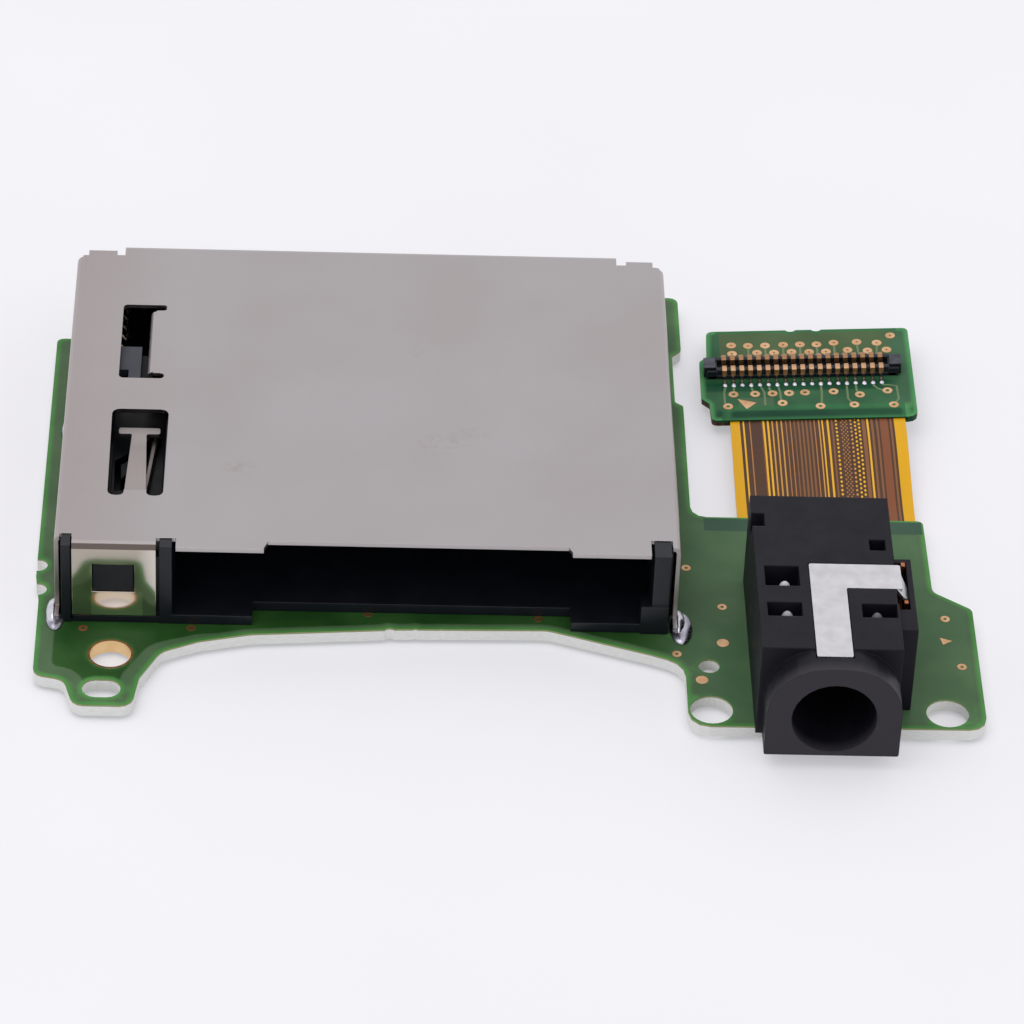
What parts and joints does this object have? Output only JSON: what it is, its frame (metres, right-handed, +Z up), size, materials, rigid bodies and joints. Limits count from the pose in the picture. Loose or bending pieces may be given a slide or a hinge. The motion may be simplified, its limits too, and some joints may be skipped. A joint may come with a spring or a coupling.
{
  "type": "game card reader module",
  "caption": "Push-push game card slot under a stamped metal shield, on a circuit board with a headphone jack and a flex ribbon that ends in a small board-to-board plug.",
  "frame": {"origin": "on the main board's underside, below the middle of the whole module", "axes": "+X along the board towards the headphone jack, +Y away from the card opening, +Z up out of the board's component side"},
  "size_m": [0.0408, 0.0332, 0.0052],
  "materials": {
    "board_green": "solder mask, semi-gloss",
    "ribbon_film": "amber film over copper tracks",
    "nickel_sheet": "satin nickel",
    "black_plastic": "moulded, satin",
    "slider_plastic": "moulded, satin",
    "spring_steel": "drawn wire",
    "gold_contact": "gold flash",
    "silver_plate": "matt silver plating",
    "copper_alloy": "bare cut edge",
    "solder_tin": "bright solder"
  },
  "bodies": {
    "case": {"card_contact_01": "gold_contact", "card_contact_02": "gold_contact", "card_contact_03": "gold_contact", "card_contact_04": "gold_contact", "card_contact_05": "gold_contact", "card_contact_06": "gold_contact", "card_contact_07": "gold_contact", "card_contact_08": "gold_contact", "card_contact_09": "gold_contact", "card_contact_10": "gold_contact", "card_contact_11": "gold_contact", "card_contact_12": "gold_contact", "card_contact_13": "gold_contact", "card_contact_14": "gold_contact", "card_contact_15": "gold_contact", "card_contact_16": "gold_contact", "card_housing": "black_plastic", "eject_spring": "spring_steel", "flex_ribbon": "ribbon_film", "jack_ground_contact": "silver_plate", "jack_housing": "black_plastic", "jack_mic_contact": "silver_plate", "jack_ring_contact": "silver_plate", "jack_switch_contact": "copper_alloy", "jack_tip_contact": "silver_plate", "main_board": "board_green", "plug_anchor_left": "silver_plate", "plug_anchor_right": "silver_plate", "plug_board": "board_green", "plug_housing": "black_plastic", "shield_cover": "nickel_sheet", "solder_front_left": "solder_tin", "solder_front_right": "solder_tin", "solder_side_left": "solder_tin", "solder_side_right": "solder_tin"},
    "slider": {"eject_slider": "slider_plastic"},
    "pin": {"cam_pin": "spring_steel"}
  },
  "joints": [
    {"name": "eject_slide", "type": "slide", "parent": "case", "child": "slider", "axis": [0, 1, 0], "range_m": [0, 0.003], "stiffness_N_per_m": 200, "springref_m": -0.002, "deforming": ["eject_spring"]},
    {"name": "cam_pin_swing", "type": "hinge", "parent": "case", "child": "pin", "pos_m": [-0.01608, -0.00725, 0.0036], "axis": [0, 0, 1], "range_deg": [0, 6.01]}
  ],
  "couplings": [
    {"joint": "cam_pin_swing", "follows": "eject_slide", "rad_per_m": 34.907}
  ]
}
